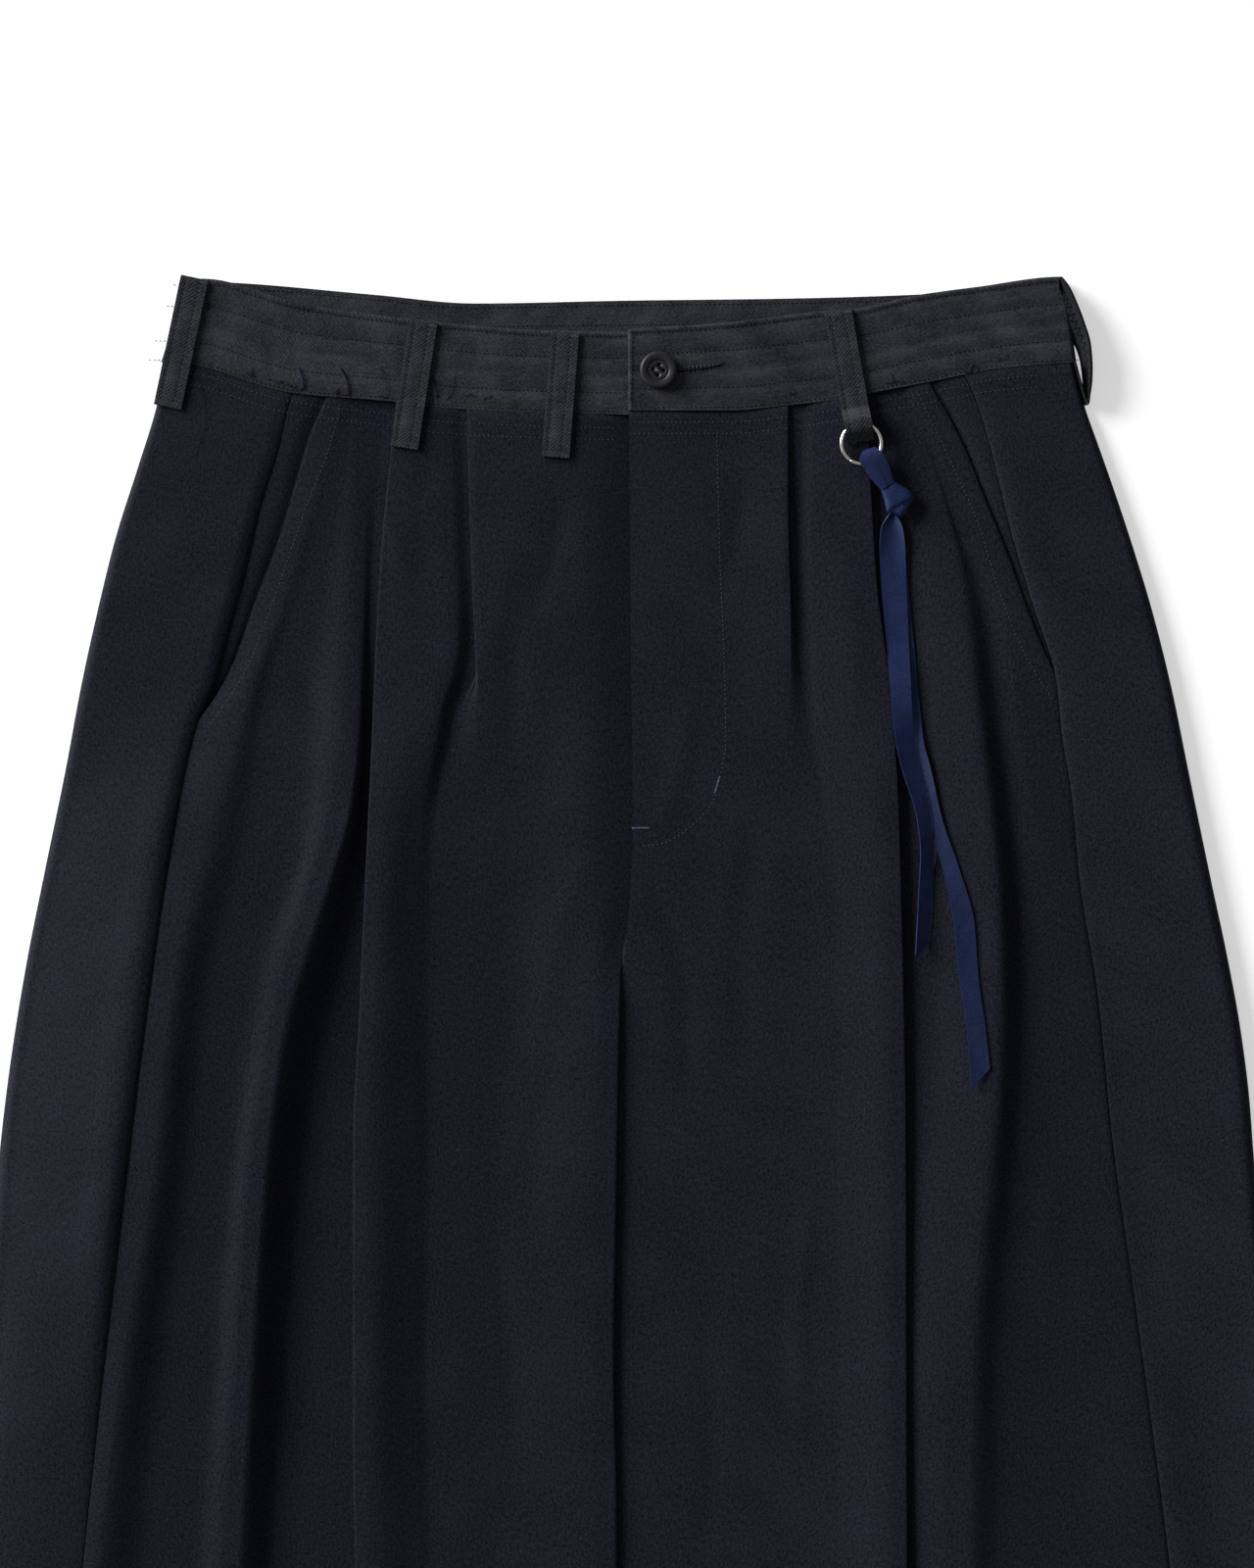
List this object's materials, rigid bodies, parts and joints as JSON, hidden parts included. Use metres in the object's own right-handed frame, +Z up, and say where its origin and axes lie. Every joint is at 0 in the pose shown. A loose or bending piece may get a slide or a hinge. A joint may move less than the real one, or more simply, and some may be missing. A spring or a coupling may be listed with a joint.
{
  "type": "wide-leg slacks",
  "caption": "Wide-leg pleated slacks lying flat, navy with a charcoal waistband and belt loops, a button front and a ribbon tied to a wire ring.",
  "frame": {"origin": "on the surface that the slacks lie on, below the middle of their bounding box", "axes": "+Z up from the surface, out of the front of the slacks; +Y towards the waist; +X towards the wearer's left"},
  "size_m": [0.68, 1.0363, 0.0133],
  "materials": {
    "navy_gabardine": "dark navy wool-blend gabardine, fine twill",
    "charcoal_twill": "brushed charcoal reverse of the cloth",
    "button": "near-black four-hole button, half gloss",
    "silver_wire": "polished silver-coloured wire",
    "blue_ribbon": "blue woven ribbon with a soft sheen"
  },
  "bodies": {
    "slacks": {"back_right": "navy_gabardine", "back_left": "navy_gabardine", "front_right": "navy_gabardine", "front_left": "navy_gabardine", "pocket_facing_right": "navy_gabardine", "pocket_facing_left": "navy_gabardine", "waistband": "charcoal_twill", "belt_loop_side_right": "charcoal_twill", "belt_loop_front_right": "charcoal_twill", "belt_loop_fly_right": "charcoal_twill", "belt_loop_ring": "charcoal_twill", "belt_loop_side_left": "charcoal_twill", "button": "button", "ribbon_loop": "blue_ribbon", "ribbon_knot": "blue_ribbon", "ribbon_tail_short": "blue_ribbon", "ribbon_tail_long": "blue_ribbon"},
    "ring": {"ring": "silver_wire"}
  },
  "joints": [
    {"name": "ring_turn", "type": "hinge", "parent": "slacks", "child": "ring", "pos_m": [0.1068, 0.442, 0.00839], "axis": [0, 0, 1], "continuous": true}
  ]
}
